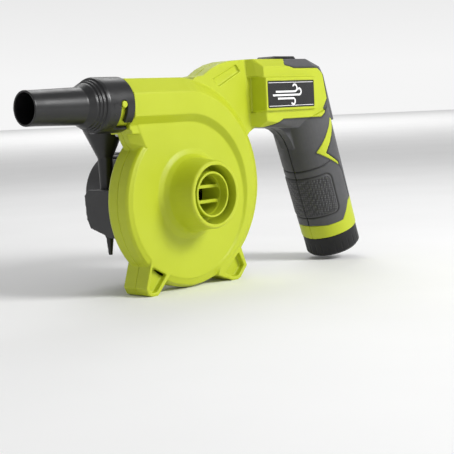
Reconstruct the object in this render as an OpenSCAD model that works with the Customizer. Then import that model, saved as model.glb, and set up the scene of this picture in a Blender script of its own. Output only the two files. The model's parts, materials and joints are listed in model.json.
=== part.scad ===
// Hand-held cordless air blower and inflator: a scroll fan with a battery in its pistol grip.
// Origin: centre of the intake mouth on the fan axis. The fan axis is Y, with the intake facing -Y.
// The outlet duct and its nozzle point along -X, and +Z is up. Units are millimetres.

/* [Scroll housing] */
// Distance from the intake mouth back to the flat front disc
port_reach = 19.5; // [17:0.5:22]
// Distance from the front disc back to the joint between the two housing halves
half_depth = 10.5; // [10:0.5:12]
// Radius of the flat front disc
disc_r = 49.8; // [48:0.2:50.2]
// How far the centre of the disc lies below the fan axis
disc_drop = 3.7; // [3:0.1:4]
// Outer radius of the scroll at the tongue
scroll_r = 53; // [52.5:0.1:53.5]
// Growth of the scroll radius in a quarter turn
scroll_growth = 6.83; // [6.7:0.01:6.9]
// Thickness of the moulded walls
wall = 2.4; // [2:0.1:2.6]

/* [Outlet duct] */
// Height of the duct axis above the fan axis
duct_z = 58; // [57.5:0.1:58.5]
// Half the distance across the flats of the octagonal duct
duct_half = 15.5; // [15.2:0.1:15.8]
// How far the end of the duct lies from the fan axis
duct_end = 48.5; // [47:0.5:50]
// Outer radius of the round outlet spigot
spigot_r = 14; // [13.6:0.1:14.2]
// Length of spigot outside the duct
spigot_reach = 17; // [15:0.5:18]

/* [Intake] */
// Bore radius of the intake ring
intake_r = 12.9; // [12.5:0.1:13.2]
// Outer radius of the raised intake collar at its rim
collar_r = 21.2; // [21:0.1:21.6]
// How far the collar rim stands proud of the intake ring
rim_proud = 2.7; // [2:0.1:3]

/* [Handle] */
// Lean of the grip from the vertical, in degrees
grip_lean = 19.4; // [19:0.1:20]
// Radius of the grip at its lower end
grip_r = 20.3; // [20:0.1:20.5]
// Radius of the grip where it meets the head
grip_top_r = 21.4; // [21:0.1:21.6]
// Length of the grip from the battery cap to the head
grip_len = 90; // [88:1:92]
// Thickness of the soft skin on the grip
skin = 1.8; // [1.5:0.1:2]
// Half the width of the head
head_half = 18.5; // [18:0.1:19]
// Height of the top of the arm above the fan axis
arm_top = 84.4; // [84:0.1:85]

/* [Battery] */
// Radius of the part of the battery inside the grip
stem_r = 15.9; // [15.5:0.1:16]
// Length of the part of the battery inside the grip
stem_len = 76; // [74:1:78]
// Radius of the battery cap
cap_r = 19.8; // [19.5:0.1:20]
// Height of the battery cap
cap_h = 15; // [14:0.5:15.5]

/* [Fan and motor] */
// Radius of the impeller
impeller_r = 42; // [40:0.5:43]
// Number of impeller blades
blade_count = 9; // [7:1:12]
// Radius of the motor shaft
shaft_r = 1.58; // [1.5:0.01:1.6]
// Radius of the motor can
motor_r = 17.9; // [17:0.1:18.5]
// Length of the motor can
motor_len = 38; // [36:1:39]
// Radius of the motor cover
cover_r = 27; // [26.5:0.1:27.5]

/* [Nozzles] */
// Outer radius at the tip of the tube nozzle
tip_r = 10.3; // [10:0.1:10.6]
// Outer radius of the bayonet collar
bayonet_r = 16.8; // [16.6:0.1:17]
// Twist that frees the bayonet, in degrees
bayonet_twist = 51; // [50:1:52]

/* [Hidden] */

lime = [0.745, 0.84, 0.18];
black_plastic = [0.15, 0.15, 0.16];
soft_grey = [0.32, 0.32, 0.34];
steel = [0.72, 0.73, 0.75];
copper = [0.8, 0.5, 0.3];
round_fn = 96;

disc_y = port_reach;
mid_y = port_reach + half_depth;
rear_disc_y = mid_y + half_depth;
ground_z = -60.3;

// ---------- helpers ----------

// Extrudes an X-Z outline between two Y values
module slab(y0, y1) {
    translate([0, y1, 0]) rotate([90, 0, 0]) linear_extrude(y1 - y0) children();
}

// Extrudes a Y-Z outline between two X values
module bar(x0, x1) {
    translate([x0, 0, 0]) rotate([90, 0, 90]) linear_extrude(x1 - x0) children();
}

// Cylinder along Y at an X, Z place
module rod_y(x, z, r, y0, y1) {
    translate([x, y0, z]) rotate([-90, 0, 0]) cylinder(r = r, h = y1 - y0, $fn = round_fn);
}

// Cylinder along X on the duct axis
module rod_x(r, x0, x1) {
    translate([x0, mid_y, duct_z]) rotate([0, 90, 0]) cylinder(r = r, h = x1 - x0, $fn = round_fn);
}

// Turns a profile of [radius, X] points round the duct axis
module lathe_x(points) {
    translate([0, mid_y, duct_z]) rotate([0, 90, 0]) rotate_extrude($fn = round_fn) polygon(points);
}

// Turns a profile of [radius, Y] points round the fan axis
module lathe_y(points) {
    rotate([-90, 0, 0]) rotate_extrude($fn = round_fn) polygon(points);
}

// Mirrors the front half into the rear half
module to_rear() {
    translate([0, 2 * mid_y, 0]) mirror([0, 1, 0]) children();
}

// Frame of the grip: origin at the battery cap's joint face, +Z up along the grip
grip_foot = [153, mid_y, -37.9];
module in_grip() {
    translate(grip_foot) rotate([0, -grip_lean, 0]) children();
}

// Everything in front of the joint plane, or behind it
module front_side() {
    translate([-200, -100, -200]) cube([500, 100 + mid_y, 400]);
}
module rear_side() {
    translate([-200, mid_y, -200]) cube([500, 200, 400]);
}

// ---------- scroll ----------

scroll_start = -40;
ramp_start = 110;
scroll_end = 270;
scroll_rise = duct_half - half_depth;
// Angle 0 is at the tongue, on -X, and it grows down and round to the top at 270
function outer_r(a) = scroll_r + scroll_growth * a / 90;
// Distance from the fan axis to the edge of the flat disc
function disc_edge(a) =
    let (s = disc_drop * sin(a)) s + sqrt(disc_r * disc_r - pow(disc_drop * cos(a), 2));
function ramp(a) = a < ramp_start ? 0 : scroll_rise * (a - ramp_start) / (scroll_end - ramp_start);
function edge_round(a) = min(outer_r(a) - disc_edge(a) - ramp(a) - 0.5, 6 + 3 * a / scroll_end);
// How far the rounded outer edge bulges: a round edge low down, a flat chamfer at the duct
function bulge(a) = a < 180 ? 0.7 : 0.7 - 0.2 * (a - 180) / 90;

// The ring lies this far below the face of the flat disc, which leaves a fine step round the disc
disc_step = 0.5;

// Points of one section of the scroll, [radius, Y], drawn in by an inset
function scroll_section(a, inset) =
    let (
        ro = outer_r(a) - inset,
        yd = disc_y + disc_step + inset,
        yf = disc_y - ramp(a) + inset + (ramp(a) > 0 ? 0 : disc_step),
        rd = min(disc_edge(a), ro - 1.2) - 2 * disc_step,
        rb = rd + ramp(a) + disc_step + 0.3 * inset,
        e = min(edge_round(a), ro - rb - 0.3)
    )
    [
        [40, yd], [rd, yd], [rb, yf], [ro - e, yf], [ro - e * (1 - bulge(a)), yf + e * (1 - bulge(a))],
        [ro, yf + e], [ro, mid_y + 2], [40, mid_y + 2]
    ];

function scroll_point(a, p) = [-p[0] * cos(a), p[1], -p[0] * sin(a)];

// Solid ring of the scroll's front half, which runs straight out into the duct; it passes the joint
// plane by 2 mm
module scroll_ring(inset, end_x) {
    step = 5;
    angles = [for (a = [scroll_start : step : scroll_end - 1]) a, scroll_end];
    last = scroll_section(scroll_end, inset);
    n = len(angles) + 1;
    m = len(last);
    points = concat(
        [for (a = angles) for (p = scroll_section(a, inset)) scroll_point(a, p)],
        [for (p = last) [end_x, p[1], p[0]]]
    );
    sides = [
        for (i = [0 : n - 2]) for (j = [0 : m - 1])
            let (k = (j + 1) % m, p0 = i * m + j, p1 = i * m + k, q0 = p0 + m, q1 = p1 + m)
            each [[p0, q1, p1], [p0, q0, q1]]
    ];
    // both end faces start at the outer corner on the joint side, so that no triangle of theirs is flat
    start = [for (j = [0 : m - 1]) (j + m - 2) % m];
    finish = [for (j = [m - 1 : -1 : 0]) (n - 1) * m + (j + m - 1) % m];
    polyhedron(points = points, faces = concat(sides, [start, finish]), convexity = 6);
}

// Block under the duct's end that closes the gap to the scroll's tongue
neck_front = [[-42.5, 48], [-42.5, 46], [-36.5, 32], [-30, 30], [-10, 43], [-10, 48]];
neck_middle = [[-47.9, 48], [-47.5, 43.5], [-43.8, 34.6], [-40, 30], [-10, 43], [-10, 48]];
duct_foot = [[-60, 33], [-60, 42.4], [-47.4, 42.4], [-43.8, 34.5], [-43.8, 33]];
module neck() {
    hull() {
        slab(disc_y, disc_y + 0.5) polygon(neck_front);
        slab(mid_y - 4, mid_y + 1.5) polygon(neck_middle);
    }
}

// ---------- arm, head and grip ----------

web_front = mid_y - 7.5;
web_outline = [
    [4, 66], [12, 73.5], [20, 74.6], [27, 78.6], [35, 81.6], [44, 83.4], [56, arm_top - 0.2],
    [70, arm_top], [70, 40], [62, 36], [55, 30], [30, 50]
];
head_points = [[62, arm_top], [118, arm_top], [133, 79], [147.5, 41], [105, 37], [66, 39]];
head_root = [[59.6, arm_top], [72, arm_top], [72, 40.5], [63, 40.5]];
head_face = [[66, 79], [119, 79], [129.5, 73], [133, 57], [124, 44.5], [84, 44.5], [76, 42], [68, 43]];

function toward(points, centre, d) =
    [for (p = points) let (v = centre - p) p + v * min(1, d / norm(v))];
head_centre = [103, 60];

// Head and grip, drawn in by an inset; the head passes the joint plane by 3 mm
module handle_body(inset) {
    hull() {
        slab(mid_y - head_half + 6 + inset, mid_y + 3) polygon(toward(head_points, head_centre, inset * 1.3));
        slab(mid_y - head_half + inset, mid_y + 3) polygon(toward(head_face, head_centre, inset));
        slab(web_front + inset, mid_y + 3) polygon(toward(head_root, head_centre, inset * 1.3));
    }
    in_grip() cylinder(r1 = grip_r - inset, r2 = grip_top_r - inset, h = grip_len, $fn = round_fn);
}

// Area of the handle that the soft skin covers, seen from the side
skin_area = [
    [89, 80], [101, 90], [150, 92], [220, 0], [220, -22], [160, -31.5], [120, -36], [90, -20],
    [60, 36], [77.5, 40.6], [85, 43.8], [122.6, 43.7], [126, 46], [133, 56.5], [128.5, 75.5], [126, 77.8],
    [98, 77.8]
];
// Two crossed bars of the hard shell that show through the skin
accent = [[134.6, 43], [120.3, 18.6], [141.5, 9], [141, 11], [127.6, 18.2], [131.5, 26], [139.8, 42]];

module skin_prism() {
    difference() {
        slab(-20, mid_y + 30) polygon(skin_area);
        slab(-21, mid_y + 31) polygon(accent);
        in_grip() slab(-40, 40) polygon([[-40, -6], [-40, 9.2], [-5, 9.2], [5, 20], [40, 22], [40, -6]]);
    }
}

badge_size = [49, 18.2];
badge_corner = [66.6, 51.3];
badge_t = 0.8;
module badge_outline(margin) {
    translate(badge_corner + [margin, margin]) square(badge_size - 2 * [margin, margin]);
}
boss_front = mid_y - head_half - 2.5;
boss_outline = [[64.5, 49.6], [117.5, 49.6], [119.5, 51.6], [119.5, 69.6], [117.5, 71.8], [64.5, 71.8]];

// Fillet between the arm's underside and the finger side of the grip
crook_outline = [[96, 41], [118, 42], [118, 24], [109.5, 22], [106, 28], [102, 32.5], [97, 36], [90, 38.4]];

// Pocket beside the badge's boss, down to the arm's face
module boss_recess() {
    slab(0, web_front - 0.3) polygon([[50, 48.8], [64.9, 48.8], [64.9, 72.6], [50, 72.6]]);
}

foot_left = [
    [-36, -36], [-42.2, -55], [-40, -59.4], [-37.5, ground_z], [-32.5, ground_z], [-20.5, -48], [-25, -38]
];
foot_right = [
    [44, -36], [50.3, -52], [43.5, -59.3], [41, ground_z], [36, ground_z], [22, -55], [30, -42]
];
foot_pockets = [
    [[-36, -42], [-39.8, -55], [-37, -58], [-33.5, -57.8], [-24.5, -48.3]],
    [[42.6, -42.5], [47.3, -51.6], [41.5, -57.6], [37, -57.8], [28.5, -54.3]]
];
foot_pocket_depth = 4;

// Housing screws: X, Z and the reach of their boss into the hollow
boss_places = [[56, 66, 6], [76, 77, 14], [124, 73, 14]];
screw_places = concat([[-34.5, -49.5], [41.5, -46.5], [-42, 41]], boss_places);

// Outside of the front half; each piece passes the joint plane, and the halves are cut there
module front_outside() {
    difference() {
        scroll_ring(0, -duct_end);
        slab(0, mid_y + 5) polygon(duct_foot);
    }
    rod_y(0, -disc_drop, disc_r, disc_y, mid_y + 1);
    neck();
    slab(web_front, mid_y + 4) polygon(web_outline);
    slab(disc_y, mid_y + 2.5) polygon(foot_left);
    slab(disc_y, mid_y + 2.5) polygon(foot_right);
}

// Hollow of the scroll and duct
module air_space() {
    difference() {
        union() {
            scroll_ring(wall, 5 - duct_end);
            rod_y(0, -disc_drop, disc_r - 3, disc_y + wall, mid_y + 1);
        }
        // tongue that parts the duct from the start of the scroll
        slab(0, mid_y + 3) polygon([[-60, 20], [-60, 44.6], [-26, 44.6], [-30, 38], [-41, 22]]);
    }
}

// Hollow of the arm and head for the switch, the leads and the battery
module handle_space() {
    slab(mid_y - 13, mid_y + 1)
        polygon([[72, 76], [116, 78], [126, 74], [132, 58], [138, 45], [116, 41], [108, 48], [72, 48]]);
    slab(mid_y - 4, mid_y + 1.5) polygon([[44, 76], [74, 78], [74, 50], [58, 47.5], [47, 57]]);
    in_grip() translate([0, 0, -1]) cylinder(r = stem_r + 0.5, h = 85, $fn = round_fn);
}

// Bosses that stand in the hollow arm and head
module screw_bosses() {
    for (p = boss_places) rod_y(p[0], p[1], 3.6, mid_y - p[2], mid_y + 0.5);
}

module green_handle() {
    difference() {
        handle_body(0);
        skin_prism();
    }
    handle_body(skin);
}

module front_housing() {
    color(lime)
    difference() {
        union() {
            difference() {
                union() {
                    front_outside();
                    green_handle();
                    slab(boss_front, mid_y + 3.5) polygon(boss_outline);
                }
                air_space();
                handle_space();
            }
            screw_bosses();
            // intake collar with a flared root
            lathe_y([[16, -rim_proud], [20.4, -rim_proud], [collar_r, -rim_proud + 1], [22.6, 11],
                [23.4, 15], [25.2, 18], [28.5, disc_y], [28.5, disc_y + 1], [16, disc_y + 1]]);
        }
        rod_y(0, 0, 18.4, -rim_proud - 1, disc_y - 7);
        rod_y(0, 0, 15.2, -rim_proud - 1, disc_y + wall + 1);
        slab(boss_front - 1, boss_front + badge_t) badge_outline(0);
        rod_x(spigot_r + 0.05, -duct_end - 1, -duct_end + 6);
        rod_x(spigot_r + 1.05, -duct_end + 1.45, -duct_end + 3.55);
        for (pocket = foot_pockets) slab(disc_y - 1, disc_y + foot_pocket_depth) polygon(pocket);
        for (p = screw_places) rod_y(p[0], p[1], 1.55, mid_y - 5.3, mid_y + 1);
        arm_recess();
        boss_recess();
        slider_slot();
        rear_side();
    }
}

// Slanted relief where the arm leaves the duct
module arm_recess() {
    slab(web_front - 1, web_front + 1.5) polygon([[28, 71.5], [51, 81], [55, 76.5], [34, 67]]);
}

// Slot in the top of the handle for the switch slider's stem
slider_travel = 6;
module slider_slot() {
    translate([94, mid_y - 4, 74]) cube([10 + slider_travel, 8, 20]);
}

module rear_housing() {
    color(lime)
    difference() {
        union() {
            difference() {
                union() {
                    to_rear() front_outside();
                    to_rear() green_handle();
                    to_rear() slab(boss_front, mid_y + 3.5) polygon(boss_outline);
                }
                to_rear() air_space();
                to_rear() handle_space();
            }
            to_rear() screw_bosses();
        }
        // opening for the motor's nose and its two screws
        rod_y(0, 0, 6.2, rear_disc_y - wall - 1, rear_disc_y + 1);
        for (x = [-motor_screw_x, motor_screw_x]) rod_y(x, 0, 1.6, rear_disc_y - wall - 1, rear_disc_y + 1);
        to_rear() slab(boss_front - 1, boss_front + badge_t) badge_outline(0);
        to_rear() boss_recess();
        rod_x(spigot_r + 0.05, -duct_end - 1, -duct_end + 6);
        rod_x(spigot_r + 1.05, -duct_end + 1.45, -duct_end + 3.55);
        for (p = screw_places) {
            rod_y(p[0], p[1], 1.7, mid_y - 1, mid_y + 30);
            rod_y(p[0], p[1], screw_head_r + 0.3, screw_head_y, mid_y + 30);
        }
        // lead-through from the arm to the motor cover
        rod_y(lead_hole[0], lead_hole[1], 4, mid_y - 1, mid_y + 30);
        for (p = concat(cover_screw_places, [holder_screw], post_screws))
            rod_y(p[0], p[1], 1.3, rear_disc_y - wall + 0.8, rear_disc_y + 5);
        slider_slot();
        front_side();
    }
}

// ---------- intake and outlet ----------

bar_gap = 4.7;
module intake_grille() {
    color(lime) {
        lathe_y([[intake_r, 0], [14.1, 0], [14.4, 0.3], [14.4, disc_y - 7.4], [18.2, disc_y - 7.4],
            [18.2, disc_y - 7.05], [15.1, disc_y - 7.05], [15.1, disc_y + wall],
            [intake_r - 0.4, disc_y + wall], [intake_r - 0.4, 6], [intake_r, 6]]);
        for (z = [-bar_gap, bar_gap])
            translate([-intake_r - 0.6, 7, z - 1.1]) cube([2 * intake_r + 1.2, 3, 2.2]);
    }
}

module outlet_spigot() {
    color(lime)
    difference() {
        union() {
            lathe_x([[spigot_r - 2.2, -duct_end - spigot_reach], [spigot_r - 0.4, -duct_end - spigot_reach],
                [spigot_r, -duct_end - spigot_reach + 0.8], [spigot_r, -duct_end + 1.5],
                [spigot_r + 1, -duct_end + 1.5], [spigot_r + 1, -duct_end + 3.5], [spigot_r, -duct_end + 3.5],
                [spigot_r, -duct_end + 5], [spigot_r - 2.2, -duct_end + 5]]);
            for (side = [-1, 1])
                translate([bayonet_x, mid_y, duct_z]) rotate([side * 90, 0, 0])
                    translate([0, 0, spigot_r - 1.5]) cylinder(r = pin_r, h = pin_len, $fn = 48);
        }
        lathe_x([[spigot_r - 1.1, seal_x - 1], [spigot_r + 1, seal_x - 1], [spigot_r + 1, seal_x + 1],
            [spigot_r - 1.1, seal_x + 1]]);
    }
}

seal_x = -duct_end - spigot_reach + 3.4;
module outlet_seal() {
    color("black")
    translate([seal_x, mid_y, duct_z]) rotate([0, 90, 0])
        rotate_extrude($fn = round_fn) translate([spigot_r - 0.45, 0]) circle(r = 0.62, $fn = 32);
}

// ---------- nozzles ----------

pin_r = 2.1;
pin_len = bayonet_r - spigot_r + 1.8;
bayonet_x = -duct_end - 9;
tube_right = -duct_end - 0.5;
slot_half = pin_r + 0.35;

// Wedge of a ring round the duct axis, between two angles below the front (-Y) side
module ring_wedge(r0, r1, x0, x1, low, high) {
    translate([x0, mid_y, duct_z]) rotate([0, 90, 0]) rotate([0, 0, -90 - high])
        rotate_extrude(angle = high - low, $fn = round_fn) translate([r0, 0]) square([r1 - r0, x1 - x0]);
}

module bayonet_slot() {
    r0 = spigot_r - 1;
    r1 = bayonet_r + 2;
    ring_wedge(r0, r1, bayonet_x - slot_half, bayonet_x + slot_half, -bayonet_twist - 9, 0);
    ring_wedge(r0, r1, bayonet_x, tube_right + 1, -bayonet_twist - 9.6, -bayonet_twist + 9.6);
    translate([bayonet_x, mid_y, duct_z]) rotate([90, 0, 0])
        translate([0, 0, spigot_r - 1.4]) cylinder(r = slot_half + 0.05, h = 6, $fn = 48);
}

module tube_nozzle() {
    tip_x = tube_right - 69.3;
    socket_x = -duct_end - spigot_reach - 0.4;
    land = 7;
    color(black_plastic)
    difference() {
        lathe_x([
            [tip_r - 1.2, tip_x], [tip_r, tip_x], [tip_r, tip_x + land], [tip_r + 0.9, tip_x + 38],
            [13.4, tip_x + 42.5], [13.4, tip_x + 44], [14.3, tip_x + 44], [14.3, tip_x + 46],
            [15.2, tip_x + 46], [15.2, tip_x + 48], [16.2, tip_x + 48], [bayonet_r, tip_x + 50],
            [bayonet_r, tube_right], [spigot_r + 0.3, tube_right], [spigot_r + 0.3, socket_x],
            [11.8, socket_x], [11.2, tip_x + 46], [tip_r - 0.3, tip_x + 38], [tip_r - 1.2, tip_x + land]
        ]);
        bayonet_slot();
        translate([0, 2 * mid_y, 2 * duct_z]) rotate([180, 0, 0]) bayonet_slot();
    }
}

needle_place = [-33, 61.5];
module needle_nozzle() {
    base_r = 13.3;
    color(black_plastic)
    translate([needle_place[0], needle_place[1], 0])
    difference() {
        rotate_extrude($fn = 64) polygon([
            [11.4, 60], [base_r, 60], [base_r, 43], [4.8, 25], [4.15, 5.5], [3.3, -20], [1.3, -37],
            [0.7, -37], [2.1, -20], [3.4, 25], [11.4, 42]
        ]);
        // the far side of the tip is cut away on the slant
        translate([-10, 0.6, -40]) cube([20, 20, 14]);
        translate([-10, 0.6, -26]) rotate([38, 0, 0]) translate([0, 0, -12]) cube([20, 20, 12]);
    }
}

flat_place = [55.5, 63.5];
flat_base_z = -40.3;
module flat_nozzle() {
    base_r = 13.3;
    base_h = 17;
    blade_half = 29.5;
    blade_t = 3.6;
    color(black_plastic)
    translate([flat_place[0], flat_place[1], flat_base_z])
    difference() {
        union() {
            cylinder(r = base_r, h = base_h, $fn = 64);
            hull() {
                translate([0, 0, base_h - 0.5]) cylinder(r = base_r - 0.5, h = 0.5, $fn = 32);
                translate([-22, -blade_t, base_h + 20]) cube([44, 2 * blade_t, 0.5]);
            }
            translate([0, blade_t, base_h + 20]) rotate([90, 0, 0]) linear_extrude(2 * blade_t)
                polygon([[-22, 0], [22, 0], [blade_half, 26], [blade_half - 9, 33], [9 - blade_half, 33],
                    [-blade_half, 26]]);
        }
        translate([0, 0, -1]) cylinder(r = 11.3, h = base_h + 1, $fn = 64);
        hull() {
            translate([0, 0, base_h - 0.6]) cylinder(r = 11, h = 0.5, $fn = 32);
            translate([-20, -2, base_h + 20]) cube([40, 4, 0.5]);
        }
        translate([0, 2, base_h + 20]) rotate([90, 0, 0]) linear_extrude(4)
            polygon([[-20, 0], [20, 0], [blade_half - 2.5, 25], [blade_half - 10, 34], [10 - blade_half, 34],
                [2.5 - blade_half, 25]]);
    }
}

// ---------- parts on the back ----------

cover_screw_places = [[31, 1.5], [-15.5, 26.8], [0, -31]];
cover_back = 92.5;
lead_hole = [52, 55];
conduit_angle = 47;

// Channel from the cover up to the arm, which straddles the back of the scroll
module conduit(width, y0, y1, reach) {
    rotate([0, -conduit_angle, 0]) translate([18, y0, -width / 2]) cube([reach - 18, y1 - y0, width]);
}

module motor_cover() {
    cover_front = rear_disc_y + 0.1;
    web_back = 2 * mid_y - web_front;
    color(soft_grey)
    difference() {
        union() {
            rod_y(0, 0, cover_r, cover_front, cover_back - 3);
            lathe_y([[0, cover_back - 3.2], [cover_r, cover_back - 3.2], [cover_r - 2.6, cover_back],
                [0, cover_back]]);
            for (p = cover_screw_places) rod_y(p[0], p[1], 5, cover_front, cover_front + 3);
            difference() {
                conduit(14, web_back + 0.3, rear_disc_y + 11, 82);
                rod_y(0, 0, 71.5, 0, mid_y + duct_half + 0.3);
            }
            intersection() {
                conduit(14, cover_front, rear_disc_y + 11, 60);
                rod_y(0, 0, 47, cover_front, 80);
            }
        }
        rod_y(0, 0, cover_r - 2.2, cover_front - 1, cover_back - 2.2);
        conduit(10, 0, rear_disc_y + 9, 80);
        for (p = cover_screw_places) rod_y(p[0], p[1], 1.7, cover_front - 1, cover_front + 5);
        // cooling slots in the end and round the side
        for (x = [-14 : 7 : 14])
            translate([x - 1.5, cover_back - 4, -vent_half(x)]) cube([3, 6, 2 * vent_half(x)]);
        for (a = [242 : 14 : 340]) rotate([0, a, 0]) translate([cover_r - 4, 66, -1.2]) cube([8, 16, 2.4]);
    }
}
function vent_half(x) = sqrt(pow(20, 2) - x * x) - 2;

holder_screw = [-40, -9];
module nozzle_holder() {
    color(soft_grey)
    difference() {
        bar(-44.5, -20) polygon([
            [rear_disc_y + 0.1, 1], [rear_disc_y + 4, 5.4], [67, 5.4], [70.5, 1.5], [69.3, -13], [66, -19],
            [rear_disc_y + 7, -24.5], [rear_disc_y + 0.1, -24.5]
        ]);
        rod_y(0, 0, cover_r + 0.3, 0, 100);
        translate([needle_place[0], needle_place[1], -40]) cylinder(r1 = 3.6, r2 = 4.45, h = 46, $fn = 64);
        rod_y(holder_screw[0], holder_screw[1], 1.7, 0, 100);
        rod_y(holder_screw[0], holder_screw[1], screw_head_r + 0.3, rear_disc_y + 3.1, 100);
    }
}

post_shelf_z = -43.5;
post_front = rear_disc_y + 1.7;
post_screws = [[53.5, -29], [46.5, -31.5]];
module nozzle_post() {
    color(soft_grey)
    difference() {
        union() {
            translate([43, post_front, post_shelf_z]) cube([24, 22, 3]);
            translate([43, post_front, post_shelf_z]) cube([15, 2.6, 19]);
            translate([flat_place[0], flat_place[1], post_shelf_z]) cylinder(r = 12.5, h = 3, $fn = 64);
            translate([flat_place[0], flat_place[1], post_shelf_z + 2]) cylinder(r = 11, h = 14, $fn = 64);
        }
        for (p = post_screws) rod_y(p[0], p[1], 1.7, post_front - 1, post_front + 4);
    }
}

// ---------- skins and badges ----------

module grip_skin_front() {
    color(soft_grey)
    difference() {
        union() {
            intersection() {
                handle_body(0);
                skin_prism();
            }
            slab(mid_y - 6, mid_y + 5) polygon(crook_outline);
        }
        handle_body(skin);
        slab(web_front, mid_y + 4) polygon(web_outline);
        slab(boss_front, mid_y + 3.5) polygon(boss_outline);
        slider_slot();
        rear_side();
    }
}

module grip_skin_rear() {
    color(soft_grey)
    difference() {
        to_rear() {
            intersection() {
                handle_body(0);
                skin_prism();
            }
            slab(mid_y - 6, mid_y + 5) polygon(crook_outline);
        }
        to_rear() handle_body(skin);
        to_rear() slab(web_front, mid_y + 4) polygon(web_outline);
        to_rear() slab(boss_front, mid_y + 3.5) polygon(boss_outline);
        slider_slot();
        front_side();
        for (p = screw_places) rod_y(p[0], p[1], screw_head_r + 0.3, screw_head_y, mid_y + 30);
    }
}

module badge_plate() {
    slab(boss_front + 0.1, boss_front + badge_t) badge_outline(0.15);
}

module badge_front() {
    color([0.1, 0.1, 0.1]) badge_plate();
}

module badge_rear() {
    color([0.1, 0.1, 0.1]) to_rear() badge_plate();
}

// ---------- switch and electrics ----------

module switch_slider() {
    color(black_plastic) {
        slab(mid_y - 7, mid_y + 7) polygon([[88, arm_top + 0.3], [114, arm_top + 0.3], [112, arm_top + 2.1],
            [90, arm_top + 2.1]]);
        translate([95, mid_y - 3, 77]) cube([8, 6, arm_top + 0.4 - 77]);
    }
}

module switch_body() {
    color(black_plastic)
    difference() {
        translate([80, mid_y - 8, 64]) cube([34, 16, 9]);
        translate([86, mid_y - 3.5, 70]) cube([22, 7, 4]);
    }
}

module control_board() {
    color([0.1, 0.4, 0.2]) translate([76, mid_y - 11, 50]) cube([26, 1.6, 12]);
    color(black_plastic) translate([80, mid_y - 9.4, 52]) cube([8, 3, 8]);
}

module terminal_block() {
    color(black_plastic)
    in_grip() difference() {
        translate([0, 0, stem_len + 1]) cylinder(r = 12, h = 6, $fn = 64);
        for (y = [-6, 6]) translate([-2.2, y - 0.8, stem_len]) cube([4.4, 1.6, 10]);
    }
}

module terminal_contacts() {
    color(copper)
    in_grip() for (y = [-6, 6]) translate([-2, y - 0.5, stem_len + 0.3]) cube([4, 1, 7.2]);
}

module battery_clip() {
    color(steel)
    in_grip() translate([0, 0, 30]) rotate(250) rotate_extrude(angle = 40, $fn = round_fn)
        translate([stem_r + 0.05, 0]) square([0.38, 24]);
}

module battery_case() {
    color(black_plastic)
    in_grip() difference() {
        union() {
            translate([0, 0, -2]) cylinder(r = stem_r - 0.5, h = stem_len + 2, $fn = round_fn);
            translate([0, 0, -cap_h]) cylinder(r1 = cap_r - 2, r2 = cap_r, h = 2, $fn = round_fn);
            translate([0, 0, 2 - cap_h]) cylinder(r = cap_r, h = cap_h - 2.3, $fn = round_fn);
        }
        translate([0, 0, -1]) cylinder(r = 10.9, h = stem_len - 1, $fn = round_fn);
        for (y = [-6, 6]) translate([-2.6, y - 1, stem_len - 2.5]) cube([5.2, 2, 4]);
        for (a = [75 : 15 : 285]) rotate(a) translate([cap_r - 0.4, -0.4, -12]) cube([2, 0.8, 7]);
    }
}

module battery_cell() {
    color([0.2, 0.35, 0.6]) in_grip() {
        translate([0, 0, 0.5]) cylinder(r = 10.5, h = 70, $fn = round_fn);
        translate([0, 0, 70.5]) cylinder(r = 4, h = 0.8, $fn = 48);
    }
}

module battery_board() {
    color([0.1, 0.4, 0.2]) in_grip() translate([0, 0, 71.6]) cylinder(r = 10.3, h = 0.9, $fn = 64);
}

module battery_contacts() {
    color(copper)
    in_grip() for (y = [-6, 6]) translate([-2.2, y - 0.9, stem_len - 2.4]) cube([4.4, 1.8, 1.2]);
}

// A lead as straight runs with round elbows
module lead(path, r) {
    for (i = [0 : len(path) - 2]) {
        v = path[i + 1] - path[i];
        length = norm(v);
        translate(path[i]) rotate([0, acos(v[2] / length), atan2(v[1], v[0])])
            cylinder(r = r, h = length, $fn = 24);
    }
    for (i = [1 : len(path) - 2]) translate(path[i]) sphere(r = r * 1.08, $fn = 24);
}

module power_leads() {
    lead_r = 0.8;
    channel_y = mid_y + 17.6;
    end_y = motor_back + 1.2;
    for (side = [-1, 1])
        color(side < 0 ? "red" : "black")
        lead([
            [80, mid_y + side * 2, 60], [64, mid_y + side * 2, 64],
            [lead_hole[0], mid_y + 2, 56 + side * 1.6],
            [lead_hole[0] - side, channel_y, 55 + side * 1.4], [14 - side, channel_y, 15.5 + side * 2],
            [14 - side, end_y, 15.5 + side * 2], [-side * 8, end_y, 4]
        ], lead_r);
}

// ---------- motor and fan ----------

motor_front = rear_disc_y + 0.1;
motor_back = motor_front + motor_len;
motor_screw_x = 10;

module motor_can() {
    color(steel)
    difference() {
        union() {
            rod_y(0, 0, motor_r, motor_front, motor_back);
            rod_y(0, 0, 6, motor_front - 3, motor_front + 1);
        }
        rod_y(0, 0, motor_r - 1.2, motor_front + 1.2, motor_back + 1);
        rod_y(0, 0, 4, motor_front - 4, motor_front + 3);
        for (x = [-motor_screw_x, motor_screw_x]) rod_y(x, 0, 1.5, motor_front - 1, motor_front + 3);
    }
}

module motor_magnets() {
    color([0.25, 0.25, 0.27])
    difference() {
        rod_y(0, 0, motor_r - 1.2, motor_front + 4, motor_front + 30);
        rod_y(0, 0, motor_r - 4.7, motor_front + 3, motor_front + 31);
        for (z = [-1, 1]) translate([-4, motor_front + 3, z > 0 ? 0 : -20]) cube([8, 28, 20]);
    }
}

module motor_end_cap() {
    color(black_plastic)
    difference() {
        union() {
            rod_y(0, 0, motor_r - 1.2, motor_back - 3, motor_back);
            rod_y(0, 0, 6, motor_back - 1, motor_back + 3);
        }
        rod_y(0, 0, 4, motor_back - 4, motor_back + 4);
        for (x = [-8, 8]) translate([x - 2.4, motor_back - 4, -2.2]) cube([4.8, 5, 4.4]);
    }
}

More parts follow.
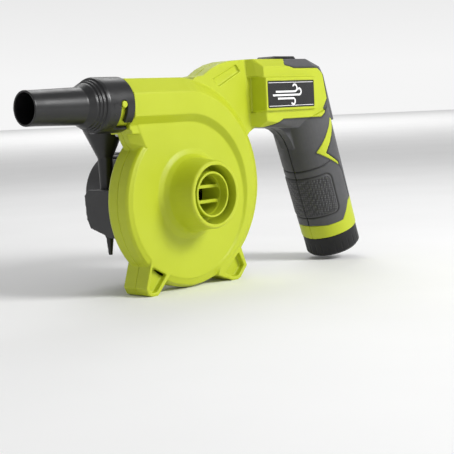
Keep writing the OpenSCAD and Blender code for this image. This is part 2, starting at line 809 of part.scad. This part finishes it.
module motor_brushes() {
    color([0.2, 0.2, 0.2])
    for (side = [-1, 1])
        translate([side > 0 ? 4.3 : -9.3, motor_back - 8.1, -1.8]) cube([5, 5, 3.6]);
}

module front_bushing() {
    color(copper)
    difference() {
        rod_y(0, 0, 3.98, motor_front - 3, motor_front + 3);
        rod_y(0, 0, shaft_r + 0.03, motor_front - 4, motor_front + 4);
    }
}

module rear_bushing() {
    color(copper)
    difference() {
        rod_y(0, 0, 3.98, motor_back - 3, motor_back + 3);
        rod_y(0, 0, shaft_r + 0.03, motor_back - 4, motor_back + 4);
    }
}

module motor_shaft() {
    color(steel) rod_y(0, 0, shaft_r, 25, motor_back + 2.6);
}

module motor_armature() {
    color(copper)
    difference() {
        union() {
            for (i = [0 : 4]) rotate([0, i * 72, 0]) translate([0, motor_front + 6, -2]) cube([11.5, 20, 4]);
            rod_y(0, 0, 6.5, motor_front + 5, motor_front + 27);
            for (i = [0 : 4]) rotate([0, i * 72, 0])
                intersection() {
                    rod_y(0, 0, 12.4, motor_front + 7, motor_front + 25);
                    translate([9, motor_front + 7, -5.6]) cube([4, 18, 11.2]);
                }
        }
        rod_y(0, 0, shaft_r, motor_front, motor_back);
    }
}

module motor_commutator() {
    color(copper)
    difference() {
        rod_y(0, 0, 4, motor_front + 27.2, motor_back - 3.4);
        rod_y(0, 0, shaft_r, motor_front, motor_back);
    }
}

impeller_back = 35.5;
blade_front = 23.6;
// Centre line of one blade: the angle falls back as the radius grows
function blade_point(r, side) =
    let (a = 55 * (r - 13) / (impeller_r - 13) + side * 45 / r) [r * cos(a), r * sin(a)];

module impeller() {
    radii = [for (i = [0 : 9]) 13 + i * (impeller_r - 13.2) / 9];
    color(black_plastic)
    difference() {
        union() {
            rod_y(0, 0, impeller_r, impeller_back - 1.6, impeller_back);
            lathe_y([[0, 27], [4.5, 27], [7, 31], [12, impeller_back - 1.2], [0, impeller_back - 1.2]]);
            for (i = [0 : blade_count - 1])
                rotate([0, i * 360 / blade_count, 0]) slab(blade_front, impeller_back - 1)
                    polygon(concat([for (r = radii) blade_point(r, -1)],
                        [for (k = [len(radii) - 1 : -1 : 0]) blade_point(radii[k], 1)]));
        }
        rod_y(0, 0, shaft_r, 0, 60);
    }
}

module impeller_nut() {
    color(steel)
    difference() {
        translate([0, 25.6, 0]) rotate([90, 0, 0]) mirror([0, 0, 1]) cylinder(r = 3.2, h = 1.4, $fn = 6);
        rod_y(0, 0, shaft_r, 20, 30);
    }
}

// ---------- fasteners ----------

screw_head_r = 2.9;
screw_head_y = mid_y + 6;

module pan_screw(x, z, y_head, length) {
    rod_y(x, z, 1.5, y_head - length, y_head);
    difference() {
        rod_y(x, z, screw_head_r, y_head, y_head + 2);
        for (a = [0, 90]) translate([x, y_head + 2.5, z]) rotate([0, a, 0])
            cube([3.4, 3, 0.7], center = true);
    }
}

module housing_screws() {
    color(steel) for (p = screw_places) pan_screw(p[0], p[1], screw_head_y, 11);
}

module short_screw(p, y_head) {
    rod_y(p[0], p[1], 1.25, rear_disc_y - wall + 1, y_head + 0.5);
    rod_y(p[0], p[1], screw_head_r, y_head, y_head + 2);
}

module cover_screws() {
    color(steel) for (p = concat(cover_screw_places, [holder_screw])) short_screw(p, rear_disc_y + 3.1);
}

module post_screws_pair() {
    color(steel) for (p = post_screws) short_screw(p, post_front + 2.6);
}

module motor_screws() {
    color(steel) for (x = [-motor_screw_x, motor_screw_x]) {
        rod_y(x, 0, 1.45, rear_disc_y - wall, rear_disc_y + 1.2);
        rod_y(x, 0, 2.6, rear_disc_y - wall - 1.4, rear_disc_y - wall);
    }
}

front_housing();
rear_housing();
intake_grille();
outlet_spigot();
outlet_seal();
tube_nozzle();
needle_nozzle();
flat_nozzle();
nozzle_holder();
nozzle_post();
motor_cover();
grip_skin_front();
grip_skin_rear();
badge_front();
badge_rear();
switch_slider();
switch_body();
impeller();
impeller_nut();
motor_shaft();
motor_armature();
motor_commutator();
motor_can();
motor_magnets();
motor_end_cap();
motor_brushes();
front_bushing();
rear_bushing();
motor_screws();
control_board();
terminal_block();
terminal_contacts();
battery_clip();
battery_case();
battery_cell();
battery_board();
battery_contacts();
power_leads();
housing_screws();
cover_screws();
post_screws_pair();
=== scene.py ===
import json
import math

import bmesh
import bpy
import numpy as np
from mathutils import Matrix, Vector


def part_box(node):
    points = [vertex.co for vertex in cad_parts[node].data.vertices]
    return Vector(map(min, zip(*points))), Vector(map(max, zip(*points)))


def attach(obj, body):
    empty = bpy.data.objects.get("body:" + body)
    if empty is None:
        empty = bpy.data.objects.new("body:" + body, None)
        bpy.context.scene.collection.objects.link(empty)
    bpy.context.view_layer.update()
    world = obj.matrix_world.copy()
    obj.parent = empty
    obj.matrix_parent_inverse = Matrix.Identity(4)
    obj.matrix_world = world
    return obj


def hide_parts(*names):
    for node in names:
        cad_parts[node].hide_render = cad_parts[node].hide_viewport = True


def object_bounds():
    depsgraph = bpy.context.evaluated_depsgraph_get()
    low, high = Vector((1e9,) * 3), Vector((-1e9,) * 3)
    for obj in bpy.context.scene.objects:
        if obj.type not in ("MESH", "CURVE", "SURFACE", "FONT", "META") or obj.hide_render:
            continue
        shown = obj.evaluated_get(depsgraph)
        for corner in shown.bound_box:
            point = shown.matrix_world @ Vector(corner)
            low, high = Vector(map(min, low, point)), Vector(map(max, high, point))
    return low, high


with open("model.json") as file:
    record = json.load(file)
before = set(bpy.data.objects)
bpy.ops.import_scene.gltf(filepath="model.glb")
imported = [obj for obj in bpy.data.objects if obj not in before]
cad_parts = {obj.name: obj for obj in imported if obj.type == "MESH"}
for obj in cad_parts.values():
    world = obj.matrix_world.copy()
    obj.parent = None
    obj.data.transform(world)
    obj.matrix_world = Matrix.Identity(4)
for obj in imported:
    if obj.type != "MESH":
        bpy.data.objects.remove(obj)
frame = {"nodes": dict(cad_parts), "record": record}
cad_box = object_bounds()
nodes = frame["nodes"]
body_of = {n: b for b, names in frame["record"]["behaviour"]["bodies"].items() for n in names}
scene = bpy.context.scene
MM = 0.001

# ---------- places taken from the part, in millimetres ----------

MID_Y = 30.0  # joint plane of the two halves
DUCT_Z = 58.0  # height of the duct's axis
COLLAR_R = 16.8  # outside of the tube nozzle's collar
GRIP_FOOT = np.array([153.0, 30.0, -37.9])
GRIP_LEAN = math.radians(19.4)
BADGE_LOW, BADGE_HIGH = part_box("badge_front")  # in metres


# ---------- materials ----------

DRIFT_SCALE = 28  # slow changes of colour over a moulded piece
WEAR_SCALE = 160  # patches of finer and coarser polish
DRAWN_SCALE = 900  # lines drawn in metal
NUB_SCALE = 640  # nubs on the grip's pads


def material(name):
    """An empty material: itself, its node tree, its shader and the piece's own coordinates."""
    mat = bpy.data.materials.new(name)
    mat.use_nodes = True
    tree = mat.node_tree
    shader = tree.nodes["Principled BSDF"]
    coords = tree.nodes.new("ShaderNodeTexCoord")
    return mat, tree, shader, coords.outputs["Object"]


def noise(tree, vector, scale, detail=3.0, rough=0.5):
    node = tree.nodes.new("ShaderNodeTexNoise")
    node.inputs["Scale"].default_value = scale
    node.inputs["Detail"].default_value = detail
    node.inputs["Roughness"].default_value = rough
    tree.links.new(vector, node.inputs["Vector"])
    return node.outputs["Fac"]


def spread(tree, value, low, high, start=0.3, end=0.7):
    """Value mapped from start..end to low..high."""
    node = tree.nodes.new("ShaderNodeMapRange")
    node.inputs["From Min"].default_value = start
    node.inputs["From Max"].default_value = end
    node.inputs["To Min"].default_value = low
    node.inputs["To Max"].default_value = high
    tree.links.new(value, node.inputs["Value"])
    return node.outputs["Result"]


def mixed(tree, factor, low, high):
    """Mix of two colours, each given as numbers or as another node's output."""
    node = tree.nodes.new("ShaderNodeMix")
    node.data_type = "RGBA"
    tree.links.new(factor, node.inputs[0])
    for socket, value in ((node.inputs[6], low), (node.inputs[7], high)):
        if isinstance(value, bpy.types.NodeSocket):
            tree.links.new(value, socket)
        else:
            socket.default_value = (*value, 1.0)
    return node.outputs[2]


def bump(tree, height, distance, strength, under=None):
    node = tree.nodes.new("ShaderNodeBump")
    node.inputs["Distance"].default_value = distance
    node.inputs["Strength"].default_value = strength
    tree.links.new(height, node.inputs["Height"])
    if under is not None:
        tree.links.new(under, node.inputs["Normal"])
    return node.outputs["Normal"]


def plastic(name, dark, light, rough, grain=1500, grain_depth=0.00002, specular=0.5):
    """Moulded plastic: fine eroded grain, slow colour drift, and patches of finer polish."""
    mat, tree, shader, place = material(name)
    drift = spread(tree, noise(tree, place, DRIFT_SCALE, 4), 0, 1)
    tree.links.new(mixed(tree, drift, dark, light), shader.inputs["Base Color"])
    wear = noise(tree, place, WEAR_SCALE, 5, 0.6)
    tree.links.new(spread(tree, wear, rough - 0.05, rough + 0.06), shader.inputs["Roughness"])
    fine = noise(tree, place, grain, 2)
    tree.links.new(bump(tree, fine, grain_depth, 0.5), shader.inputs["Normal"])
    shader.inputs["Specular IOR Level"].default_value = specular
    return mat


def metal(name, dark, light, rough, stretch):
    """Metal with fine lines drawn along one direction."""
    mat, tree, shader, place = material(name)
    mapping = tree.nodes.new("ShaderNodeMapping")
    mapping.inputs["Scale"].default_value = stretch
    tree.links.new(place, mapping.inputs["Vector"])
    lines = noise(tree, mapping.outputs["Vector"], DRAWN_SCALE, 3)
    tree.links.new(mixed(tree, lines, dark, light), shader.inputs["Base Color"])
    tree.links.new(spread(tree, lines, rough - 0.08, rough + 0.08), shader.inputs["Roughness"])
    tree.links.new(bump(tree, lines, 0.00002, 0.4), shader.inputs["Normal"])
    shader.inputs["Metallic"].default_value = 1.0
    return mat


def attribute(tree, name):
    node = tree.nodes.new("ShaderNodeAttribute")
    node.attribute_name = name
    return node.outputs["Fac"]


def soft_grip(name):
    """Soft skin of the grip: matt rubber, with rows of small nubs where the pads are, painted shade
    between the nubs and painted shade in the grooves.
    """
    mat, tree, shader, place = material(name)
    pad = attribute(tree, "pad")
    drift = spread(tree, noise(tree, place, 40, 4), 0, 1)
    plain = mixed(tree, drift, (0.050, 0.050, 0.054), (0.066, 0.066, 0.070))
    cells = tree.nodes.new("ShaderNodeTexVoronoi")
    cells.inputs["Scale"].default_value = NUB_SCALE
    cells.inputs["Randomness"].default_value = 0.25
    tree.links.new(place, cells.inputs["Vector"])
    nub = spread(tree, cells.outputs["Distance"], 1.0, 0.0, 0.1, 0.62)
    # painted shade between the nubs and painted light on their tops
    nub_shaded_colour = mixed(tree, nub, (0.016, 0.016, 0.018), (0.085, 0.085, 0.090))
    skin = mixed(tree, pad, plain, nub_shaded_colour)
    # painted shade: the skin's colour goes almost black in its grooves; the same mask carries the
    # dark joint line at the skin's edge
    groove_shaded_skin = mixed(tree, attribute(tree, "groove_shade_and_joint"), skin, (0.006, 0.006, 0.007))
    tree.links.new(groove_shaded_skin, shader.inputs["Base Color"])
    tree.links.new(spread(tree, noise(tree, place, 300, 4), 0.50, 0.66), shader.inputs["Roughness"])
    masked = tree.nodes.new("ShaderNodeMath")
    masked.operation = "MULTIPLY"
    tree.links.new(nub, masked.inputs[0])
    tree.links.new(pad, masked.inputs[1])
    grain = bump(tree, noise(tree, place, 1900, 2), 0.00003, 0.6)
    tree.links.new(bump(tree, masked.outputs[0], 0.0004, 1.0, grain), shader.inputs["Normal"])
    shader.inputs["Sheen Weight"].default_value = 0.12
    return mat


LIME = plastic("lime_moulded", (0.438, 0.502, 0.016), (0.464, 0.530, 0.022), 0.46, specular=0.4)
BLACK = plastic("black_moulded", (0.006, 0.006, 0.0065), (0.010, 0.010, 0.011), 0.33, 1300, 0.00001)
STORE = plastic("grey_moulded", (0.022, 0.022, 0.024), (0.032, 0.032, 0.034), 0.40, 1100, 0.00004)
CASE = plastic("battery_moulded", (0.004, 0.004, 0.0045), (0.007, 0.007, 0.008), 0.46, 1200, 0.00003,
               specular=0.35)
GLOSS = plastic("badge_gloss", (0.010, 0.010, 0.011), (0.014, 0.014, 0.015), 0.18, 2200, 0.000005)
SEAL = plastic("seal_rubber", (0.012, 0.012, 0.012), (0.02, 0.02, 0.02), 0.6, 2500, 0.00002, 0.3)
MARK = plastic("mark_print", (0.80, 0.80, 0.80), (0.88, 0.88, 0.88), 0.35, 2200, 0.000005)
GRIP = soft_grip("grip_rubber_skin")
STEEL = metal("steel_turned", (0.50, 0.51, 0.53), (0.62, 0.63, 0.65), 0.30, (1, 0.05, 1))
COPPER = metal("copper_wound", (0.55, 0.25, 0.12), (0.75, 0.38, 0.20), 0.38, (1, 0.1, 1))
BRONZE = metal("bronze_sintered", (0.48, 0.33, 0.15), (0.62, 0.45, 0.22), 0.45, (1, 1, 1))
MAGNET = plastic("magnet_ferrite", (0.03, 0.03, 0.033), (0.05, 0.05, 0.054), 0.55, 900, 0.00005)
BOARD = plastic("board_mask", (0.010, 0.075, 0.030), (0.018, 0.105, 0.045), 0.30, 600, 0.00002)
WRAP = plastic("cell_wrap_film", (0.02, 0.07, 0.22), (0.03, 0.09, 0.28), 0.25, 500, 0.00001)
LEAD = plastic("lead_cover_red", (0.32, 0.012, 0.010), (0.42, 0.02, 0.015), 0.35, 1500, 0.00001)

BY_SLOT = {
    "lime_plastic": LIME, "black_plastic": BLACK, "grey_plastic": STORE, "battery_plastic": CASE,
    "badge_black": GLOSS, "black_rubber": SEAL, "grip_rubber": GRIP, "steel": STEEL, "copper": COPPER,
    "bronze": BRONZE, "magnet": MAGNET, "board_green": BOARD, "cell_wrap": WRAP, "lead_cover": LEAD,
}
SLOT_OF = {s["node"]: s["material_slot"] for s in frame["record"]["subparts"]}
for name, node in nodes.items():
    node.data.materials.clear()
    node.data.materials.append(BY_SLOT[SLOT_OF[name]])


# ---------- moulded copies: the part's own solids with rounded edges ----------

def coordinates(mesh):
    flat = np.zeros(len(mesh.vertices) * 3)
    mesh.vertices.foreach_get("co", flat)
    return flat.reshape(-1, 3)


def normals_of(mesh):
    flat = np.zeros(len(mesh.vertices) * 3)
    mesh.vertices.foreach_get("normal", flat)
    return flat.reshape(-1, 3)


MERGE_DISTANCE = 1e-7  # in metres


def applied(obj):
    """Makes obj's modifiers real."""
    shape = bpy.data.meshes.new_from_object(obj.evaluated_get(bpy.context.evaluated_depsgraph_get()))
    obj.modifiers.clear()
    obj.data = shape


def moulded(node, voxel, passes, relief=None):
    """A copy of a CAD node, remeshed on a fine grid and smoothed, so that its edges are rounded as a
    mould leaves them. relief(points in mm) gives how far each point moves out, and the masks that the
    material reads."""
    mesh = nodes[node].data.copy()
    work = bmesh.new()
    work.from_mesh(mesh)
    bmesh.ops.remove_doubles(work, verts=work.verts, dist=MERGE_DISTANCE)
    work.to_mesh(mesh)
    work.free()
    obj = bpy.data.objects.new(node + "_moulded", mesh)
    scene.collection.objects.link(obj)
    grid = obj.modifiers.new("grid", "REMESH")
    grid.mode = "VOXEL"
    grid.voxel_size = voxel * MM
    grid.use_smooth_shade = True
    ease = obj.modifiers.new("ease", "SMOOTH")
    ease.factor = 0.5
    ease.iterations = passes
    applied(obj)
    if relief is not None:
        points = coordinates(obj.data)
        rise, masks = relief(points / MM)
        points += normals_of(obj.data) * (rise * MM)[:, None]
        obj.data.vertices.foreach_set("co", points.ravel())
        for name, mask in masks.items():
            layer = obj.data.attributes.new(name, "FLOAT", "POINT")
            layer.data.foreach_set("value", mask.astype(np.float32))
        obj.data.update()
    for polygon in obj.data.polygons:
        polygon.use_smooth = True
    obj.data.materials.clear()
    obj.data.materials.append(BY_SLOT[SLOT_OF[node]])
    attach(obj, body_of[node])
    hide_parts(node)


# ---------- relief of the soft skin ----------

# Round the grip, 0 at the fingers and negative towards the back, and up along it, in millimetres
MM_PER_DEGREE = 0.36
SKIN_TOP = 88
PANEL_LINE = [((6, 52.6), (-22, 53.2)), ((-22, 53.2), (-28, 54.6)), ((-36.5, 51.0), (-40.5, 42.0)),
              ((-40.5, 42.0), (-42.0, 20.0))]
PAD_BOX = ((-26.5, 16.6), (8.0, 47.2), 5.0)
PAD_RISE = 0.35
BACK_BOX = ((-70, 18), (-44.0, 58), 4.0)
SEAM_SPREAD = 0.55  # reach of the painted shade in a groove, as a share of the groove's width
JOINT_REACH = 1.1  # reach of the dark joint line at the skin's edge


def grip_coords(points):
    """Angle about the grip's axis in degrees (180 at the fingers, 90 to either side) and height along
    it."""
    d = points - GRIP_FOOT
    c, s = math.cos(GRIP_LEAN), math.sin(GRIP_LEAN)
    x = d[:, 0] * c + d[:, 2] * s
    h = -d[:, 0] * s + d[:, 2] * c
    return np.degrees(np.arctan2(np.abs(d[:, 1]), x)), h


def groove(distance, width, depth):
    """Rise of a rounded groove at a distance from its line."""
    return -depth * np.exp(-((distance / (width / 2)) ** 2))


def step(value, low, high):
    """0 below low, 1 above high, and smooth between."""
    t = np.clip((value - low) / (high - low), 0, 1)
    return t * t * (3 - 2 * t)


def line_distance(u, v, a, b):
    """Distance from points to the line from a to b."""
    a, b = np.array(a, float), np.array(b, float)
    d = b - a
    t = np.clip(((u - a[0]) * d[0] + (v - a[1]) * d[1]) / d.dot(d), 0, 1)
    return np.hypot(u - a[0] - t * d[0], v - a[1] - t * d[1])


def rounded_box(u, v, low, high, radius):
    """Distance outside a rounded rectangle, negative inside."""
    cu, cv = (low[0] + high[0]) / 2, (low[1] + high[1]) / 2
    qu = np.abs(u - cu) - (high[0] - low[0]) / 2 + radius
    qv = np.abs(v - cv) - (high[1] - low[1]) / 2 + radius
    return np.hypot(np.maximum(qu, 0), np.maximum(qv, 0)) + np.minimum(np.maximum(qu, qv), 0) - radius


# Edges of the skin seen from the side: X and Z
HEAD_EDGE = [
    (77.5, 40.6), (85, 43.8), (122.6, 43.7), (126, 46), (133, 56.5), (128.5, 75.5), (126, 77.8),
    (98, 77.8), (89, 80)
]
ACCENT_EDGE = [
    (134.6, 43), (120.3, 18.6), (141.5, 9), (141, 11), (127.6, 18.2), (131.5, 26), (139.8, 42)
]
SKIN_EDGE = list(zip(HEAD_EDGE, HEAD_EDGE[1:])) + list(zip(ACCENT_EDGE, ACCENT_EDGE[1:]))


def skin_relief(points):
    """Rise of the skin at each point, and the masks of its nubs, of the painted shade in its grooves
    and of its dark joint line.
    """
    angle, h = grip_coords(points)
    u = (angle - 180) * MM_PER_DEGREE
    on_grip = step(SKIN_TOP - h, 0, 3)
    across = np.min([line_distance(u, h, a, b) for a, b in PANEL_LINE], axis=0)
    pad = rounded_box(u, h, *PAD_BOX)
    back = rounded_box(u, h, *BACK_BOX)
    # each groove's distance, width and depth
    seams = [(across, 1.2, 0.8), (pad, 1.1, 0.7), (back, 1.0, 0.5), (points[:, 1] - MID_Y, 0.8, 0.3)]
    rise = np.min([groove(d, width, depth) for d, width, depth in seams], axis=0)
    rise += PAD_RISE * step(-pad, 0.6, 1.6)
    # painted shade: each groove darkened in colour, most along its line
    dark = np.max([np.exp(-((d / (SEAM_SPREAD * width)) ** 2)) for d, width, depth in seams], axis=0)
    nubs = np.maximum(step(-pad, 1.2, 1.8), step(-back, 1.0, 1.6))
    edge = np.min([line_distance(points[:, 0], points[:, 2], a, b) for a, b in SKIN_EDGE], axis=0)
    joint = np.exp(-((edge / JOINT_REACH) ** 2))
    return rise * on_grip, {"pad": nubs * on_grip, "groove_shade_and_joint": np.maximum(dark * on_grip, joint)}


# Grid size in millimetres and smoothing passes of each moulded copy
MOULDED = {
    "grip_skin_front": (0.4, 4), "grip_skin_rear": (0.4, 4), "front_housing": (0.45, 3),
    "rear_housing": (0.45, 3), "tube_nozzle": (0.3, 4), "needle_nozzle": (0.4, 3),
    "flat_nozzle": (0.5, 3), "motor_cover": (0.5, 3), "nozzle_holder": (0.5, 4),
    "nozzle_post": (0.5, 3), "battery_case": (0.35, 2), "intake_grille": (0.35, 3),
    "outlet_spigot": (0.4, 2), "switch_slider": (0.3, 3), "impeller": (0.45, 2),
}
for name, (voxel, passes) in MOULDED.items():
    moulded(name, voxel, passes, skin_relief if name.startswith("grip_skin") else None)


# ---------- printed and raised marks: generic signs, no lettering ----------

SINK = 0.1  # depth of a mark's root below its surface


def raised(name, outlines, place, height, mat, body):
    """Thin raised shapes from closed outlines. place(u, v, w) gives the point at u, v and w above the
    surface."""
    mesh = bpy.data.meshes.new(name)
    obj = bpy.data.objects.new(name, mesh)
    scene.collection.objects.link(obj)
    work = bmesh.new()
    for outline in outlines:
        low = [work.verts.new(place(u, v, -SINK)) for u, v in outline]
        top = [work.verts.new(place(u, v, height)) for u, v in outline]
        count = len(outline)
        work.faces.new(top)
        work.faces.new(low[::-1])
        for i in range(count):
            j = (i + 1) % count
            work.faces.new((low[i], low[j], top[j], top[i]))
    bmesh.ops.recalc_face_normals(work, faces=work.faces)
    bmesh.ops.triangulate(work, faces=[f for f in work.faces if len(f.verts) > 4])
    work.to_mesh(mesh)
    work.free()
    mesh.materials.append(mat)
    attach(obj, body)


def ribbon(points, width):
    """Closed outline of a stroke along points, with a rounded far end."""
    pts = np.array(points, float)
    run = np.gradient(pts, axis=0)
    run /= np.hypot(run[:, 0], run[:, 1])[:, None]
    side = np.stack([-run[:, 1], run[:, 0]], 1) * width / 2
    left, right = pts + side, pts - side
    end = run[-1] * width / 2
    turn = np.linspace(0.3, math.pi - 0.3, 7)
    cap = [pts[-1] + side[-1] * math.cos(t) + end * math.sin(t) for t in turn]
    return [tuple(p) for p in np.concatenate([left, cap, right[::-1]])]


def gust(u, v, length, radius, turn):
    """A line of wind: straight, then curled up or down at its end."""
    line = [(u + length * t, v) for t in np.linspace(0, 1, 12)]
    curl = [(u + length + radius * math.sin(a), v + turn * (radius - radius * math.cos(a)))
            for a in np.linspace(0.15, 4.0, 22)]
    return line + curl


# Each line of wind: its start, its straight length, and the radius and way of its curl
GUSTS = [(8, 10.6, 20, 2.3, 1), (5, 8.3, 27.5, 2.1, 1), (10, 6.0, 16, 2.0, -1)]
STROKE = 1.25
RULE_MARGIN = 1.0
RULE_WIDTH = 0.35


def badge_marks(name, low, high, front):
    """Three lines of wind between two rules, on the badge plate whose box is low to high."""
    width, height = (high[0] - low[0]) / MM, (high[2] - low[2]) / MM
    outlines = [ribbon(gust(*g), STROKE) for g in GUSTS]
    left, right = RULE_MARGIN, width - RULE_MARGIN
    bands = [(RULE_MARGIN, RULE_MARGIN + RULE_WIDTH),
             (height - RULE_MARGIN - RULE_WIDTH, height - RULE_MARGIN)]
    rules = [[(left, v0), (right, v0), (right, v1), (left, v1)] for v0, v1 in bands]
    y = low[1] if front else high[1]
    out = -1 if front else 1

    def place(u, v, w):
        x = low[0] / MM + u if front else high[0] / MM - u
        return Vector((x * MM, y + out * w * MM, low[2] + v * MM))

    raised(name, outlines, place, 0.07, MARK, "housing")
    raised(name + "_lines", rules, place, 0.05, MARK, "housing")


badge_marks("badge_mark_front", BADGE_LOW, BADGE_HIGH, True)
badge_marks("badge_mark_rear", *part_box("badge_rear"), False)


def on_collar(u, v, w):
    """u runs along the nozzle, v round its collar from the front, downwards, in millimetres."""
    radius = COLLAR_R + w
    angle = v / COLLAR_R
    return Vector((u, MID_Y - radius * math.cos(angle), DUCT_Z - radius * math.sin(angle))) * MM


def half_ring(u, v, r0, r1):
    """Outline of the half of a ring that opens towards higher v."""
    a = np.linspace(math.pi, 2 * math.pi, 19)
    return [(u + r1 * math.cos(t), v + r1 * math.sin(t)) for t in a] + \
        [(u + r0 * math.cos(t), v + r0 * math.sin(t)) for t in a[::-1]]


LOCK_U = -64.2
LOCK_HALF = 1.6
marks = []
# a closed lock, an open one, and an arrow between them
for v0, shackle_u in ((0.0, LOCK_U), (14.5, LOCK_U + 1.2)):
    low_v, high_v = v0 - 0.2, v0 + 2.2
    low_u, high_u = LOCK_U - LOCK_HALF, LOCK_U + LOCK_HALF
    marks.append([(low_u, low_v), (high_u, low_v), (high_u, high_v), (low_u, high_v)])
    marks.append(half_ring(shackle_u, v0 - 0.3, 0.75, 1.2))
marks.append([(LOCK_U - 1.1, 6.0), (LOCK_U + 1.1, 6.0), (LOCK_U, 8.2)])
raised("collar_marks", marks, on_collar, 0.12, BLACK, "tube_nozzle_body")


# ---------- floor, light and camera ----------

FLOOR_RADIUS = 9.0


def floor():
    """A plain pale floor under the tool's lowest point."""
    mesh = bpy.data.meshes.new("floor")
    obj = bpy.data.objects.new("floor", mesh)
    scene.collection.objects.link(obj)
    work = bmesh.new()
    bmesh.ops.create_circle(work, cap_ends=True, segments=96, radius=FLOOR_RADIUS)
    work.to_mesh(mesh)
    work.free()
    obj.location = (0.03, 0.03, cad_box[0][2])
    mat, tree, shader, place = material("floor_paint")
    tone = spread(tree, noise(tree, place, 6, 3), 0, 1)
    paint = mixed(tree, tone, (0.88, 0.88, 0.88), (0.91, 0.91, 0.91))
    tree.links.new(paint, shader.inputs["Base Color"])
    shader.inputs["Roughness"].default_value = 0.9
    shader.inputs["Specular IOR Level"].default_value = 0.1
    mesh.materials.append(mat)


def lamp(name, place, target, size, power):
    """A round area lamp at place, turned to target."""
    light = bpy.data.lights.new(name, "AREA")
    light.shape = "DISK"
    light.size = size
    light.energy = power
    obj = bpy.data.objects.new(name, light)
    scene.collection.objects.link(obj)
    obj.location = place
    obj.rotation_euler = (Vector(target) - Vector(place)).to_track_quat("-Z", "Y").to_euler()


# The photograph's viewing angle, fitted to the tool's round features
VIEW_ANGLES = (-46.98, 5.91, 2.66)  # azimuth, elevation and roll, in degrees
DISTANCE = 739.25
SHIFT_RIGHT, SHIFT_DOWN = 21.9, 21.96
AIM_Y = 19.5
FOCAL_PX, FRAME_PX = 1169.05, 454
SENSOR = 36.0


def camera():
    az, el, roll = (math.radians(angle) for angle in VIEW_ANGLES)
    back = Vector((math.sin(az) * math.cos(el), -math.cos(az) * math.cos(el), math.sin(el)))
    right = Vector((math.cos(az), math.sin(az), 0))
    up = back.cross(right)
    place = back * DISTANCE + right * SHIFT_RIGHT - up * SHIFT_DOWN + Vector((0, AIM_Y, 0))
    turned_right = right * math.cos(roll) - up * math.sin(roll)
    turned_up = right * math.sin(roll) + up * math.cos(roll)
    data = bpy.data.cameras.new("camera")
    data.sensor_width = SENSOR
    data.lens = FOCAL_PX / FRAME_PX * SENSOR
    data.clip_start = 0.01
    obj = bpy.data.objects.new("camera", data)
    scene.collection.objects.link(obj)
    rotation = Matrix((turned_right, turned_up, back)).transposed()
    obj.matrix_world = Matrix.Translation(place * MM) @ rotation.to_4x4()
    scene.camera = obj


floor()
camera()
lamp("key", (0.45, -1.15, 0.75), (0.02, 0.02, 0.0), 0.55, 17.5)
lamp("rim", (0.5, 0.6, 0.9), (0.05, 0.02, 0.0), 0.7, 3)
lamp("backdrop", (3.8, 3.6, 3.4), (5.2, 4.9, 0.0), 5.0, 130)

# bright at the horizon and darker overhead
SKY_LOW, SKY_HIGH = 0.92, 0.40
world = bpy.data.worlds.new("studio")
world.use_nodes = True
sky = world.node_tree
way = sky.nodes.new("ShaderNodeSeparateXYZ")
sky.links.new(sky.nodes.new("ShaderNodeTexCoord").outputs["Generated"], way.inputs["Vector"])
glow = spread(sky, way.outputs["Z"], SKY_LOW, SKY_HIGH, 0.03, 0.40)
sky.links.new(glow, sky.nodes["Background"].inputs["Strength"])
sky.nodes["Background"].inputs["Color"].default_value = (1.0, 1.0, 1.0, 1.0)
scene.world = world
scene.view_settings.view_transform = "Standard"
